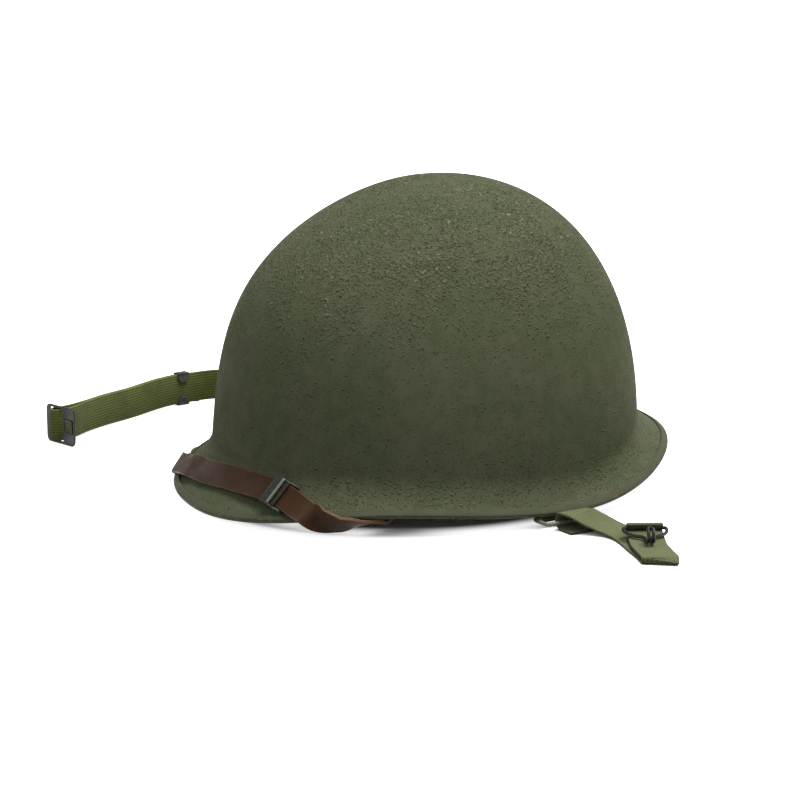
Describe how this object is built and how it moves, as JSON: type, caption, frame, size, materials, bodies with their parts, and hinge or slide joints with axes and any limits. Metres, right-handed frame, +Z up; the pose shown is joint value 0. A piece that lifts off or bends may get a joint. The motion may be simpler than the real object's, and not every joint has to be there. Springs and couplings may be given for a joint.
{
  "type": "combat helmet",
  "caption": "Steel combat helmet with a fibre liner, webbing suspension, leather liner strap over the visor and cotton chin straps with hook and buckle.",
  "frame": {"origin": "on the floor under the middle of the rim, in the helmet's middle plane", "axes": "+Z up, the visor faces -Y, +X is the wearer's left"},
  "size_m": [0.4418, 0.3149, 0.1728],
  "materials": {
    "olive_paint": "matt, cork grain",
    "edge_paint": "satin",
    "loop_wire": "satin, worn",
    "black_fittings": "satin, worn at the edges",
    "green_web": "woven cotton",
    "faded_web": "woven cotton",
    "liner_body": "matt",
    "khaki_web": "woven cotton",
    "brown_leather": "satin, worn",
    "tan_leather": "smooth",
    "zinc_metal": "dull",
    "dull_brass": "dull"
  },
  "bodies": {
    "liner": {"liner_shell": "liner_body", "front_eyelet": "dull_brass", "suspension_band": "khaki_web", "crown_straps": "khaki_web", "crown_lace": "khaki_web", "anchor_washers": "zinc_metal", "suspension_rivets": "zinc_metal", "sweatband": "tan_leather", "sweatband_clips": "black_fittings", "sweatband_buckle": "black_fittings", "nape_strap": "khaki_web", "nape_rivets": "zinc_metal", "left_liner_stud": "dull_brass", "right_liner_stud": "dull_brass", "left_strap_clip": "black_fittings", "right_strap_clip": "black_fittings"},
    "steel_pot": {"steel_shell": "olive_paint", "rim_edging": "edge_paint", "left_loop_bracket": "edge_paint", "right_loop_bracket": "edge_paint", "liner_strap": "brown_leather", "liner_strap_buckle": "black_fittings"},
    "left_loop": {"left_swivel_loop": "loop_wire"},
    "right_loop": {"right_swivel_loop": "loop_wire"},
    "hook_web": {"hook_strap": "faded_web"},
    "hook": {"strap_hook": "black_fittings"},
    "buckle_web": {"buckle_strap": "green_web"},
    "buckle": {"chin_buckle": "black_fittings"},
    "keeper": {"strap_keeper": "black_fittings"}
  },
  "joints": [
    {"name": "shell_lift", "type": "slide", "parent": "liner", "child": "steel_pot", "axis": [0, 0, 1], "range_m": [0, 0.2], "deforming": ["liner_strap"]},
    {"name": "left_loop_hinge", "type": "hinge", "parent": "steel_pot", "child": "left_loop", "pos_m": [0.11023, 0.03393, 0.0042], "axis": [-0.1825, 0.9832, 0], "range_deg": [0, 45]},
    {"name": "right_loop_hinge", "type": "hinge", "parent": "steel_pot", "child": "right_loop", "pos_m": [-0.11023, 0.03393, 0.0042], "axis": [-0.1825, -0.9832, 0], "range_deg": [0, 45]},
    {"name": "hook_web_swing", "type": "hinge", "parent": "left_loop", "child": "hook_web", "pos_m": [0.12247, 0.0362, 0.0042], "axis": [-0.1825, 0.9832, 0], "range_deg": [-20, 45]},
    {"name": "buckle_web_swing", "type": "hinge", "parent": "right_loop", "child": "buckle_web", "pos_m": [-0.12247, 0.0362, 0.0042], "axis": [-0.1825, -0.9832, 0], "range_deg": [-20, 45]},
    {"name": "hook_pivot", "type": "hinge", "parent": "hook_web", "child": "hook", "pos_m": [0.158, 0.0625, 0.0072], "axis": [0.3256, 0.9455, 0], "range_deg": [-120, 0]},
    {"name": "buckle_pivot", "type": "hinge", "parent": "buckle_web", "child": "buckle", "pos_m": [-0.1602, -0.1684, 0.0116], "axis": [0, 0, 1], "range_deg": [-25, 25]},
    {"name": "keeper_slide", "type": "slide", "parent": "buckle_web", "child": "keeper", "axis": [0.306, -0.952, 0], "range_m": [-0.003, 0]}
  ]
}
